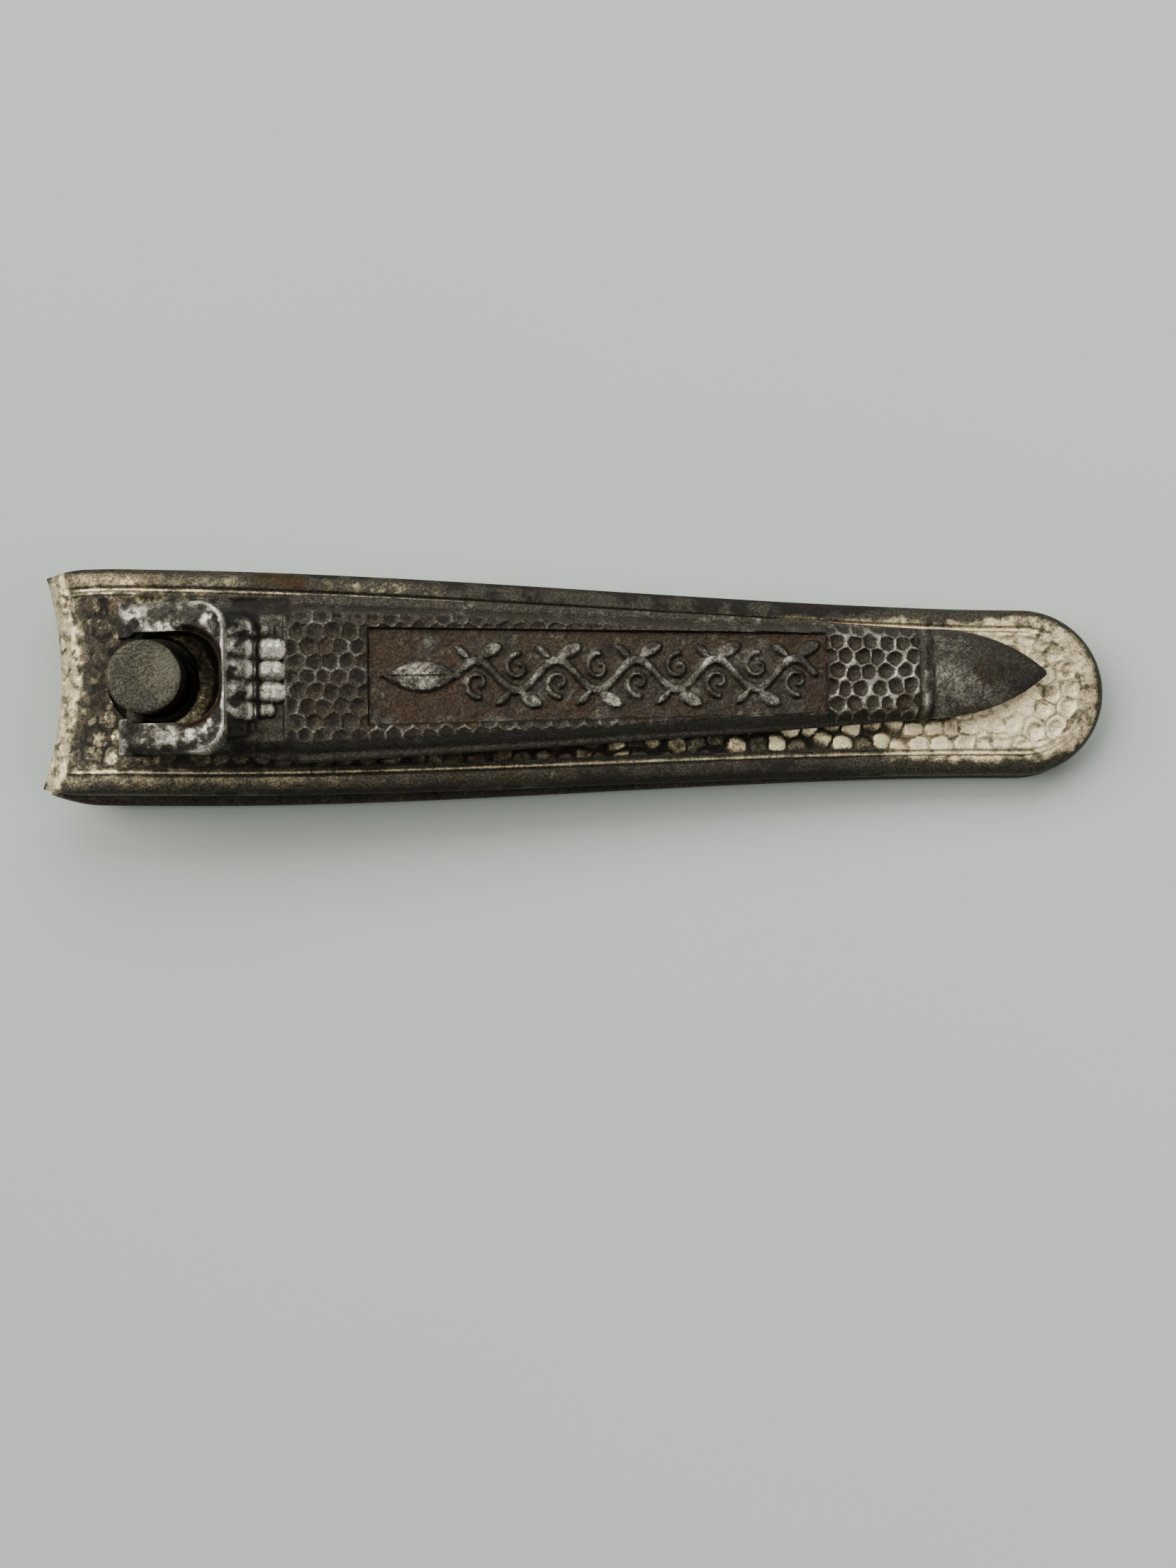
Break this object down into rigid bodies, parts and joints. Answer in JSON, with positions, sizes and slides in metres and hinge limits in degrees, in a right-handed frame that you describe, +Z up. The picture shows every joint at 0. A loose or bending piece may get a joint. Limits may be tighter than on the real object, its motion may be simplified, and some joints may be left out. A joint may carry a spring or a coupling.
{
  "type": "lever nail clipper",
  "caption": "Folding lever nail clipper: two sprung jaw arms with a concave edge, a post, and a fork-ended lever with a pointed nail-cleaner tip.",
  "frame": {"origin": "middle of the bounding box at its base, on the face that it rests on", "axes": "+X from the cutting edge to the tail, +Y across, +Z up from the resting face"},
  "size_m": [0.057, 0.0128, 0.0092],
  "materials": {
    "arm_plate": "worn plating over steel, hammered, with brown patina",
    "lever_plate": "worn plating with dark brown patina in the hollows",
    "post_steel": "matte grey mottled steel",
    "pin_steel": "dull steel"
  },
  "bodies": {
    "lower_arm": {"lower_arm": "arm_plate", "tail_rivet": "pin_steel"},
    "upper_arm": {"upper_arm": "arm_plate"},
    "post": {"post": "post_steel", "lever_pin": "pin_steel"},
    "lever": {"lever": "lever_plate"}
  },
  "joints": [
    {"name": "jaw_close", "type": "hinge", "parent": "lower_arm", "child": "upper_arm", "pos_m": [0.021, 0, 0.0013], "axis": [0, -1, 0], "range_deg": [0, 1.6], "stiffness_Nm_per_rad": 0.5},
    {"name": "post_swivel", "type": "hinge", "parent": "lower_arm", "child": "post", "pos_m": [-0.02235, 0, 0.00602], "axis": [0.0785, 0, 0.9969], "continuous": true},
    {"name": "lever_flip", "type": "hinge", "parent": "post", "child": "lever", "pos_m": [-0.02292, -0.00001, 0.00706], "axis": [0.0209, -0.9998, -0.0016], "range_deg": [0, 161]}
  ]
}
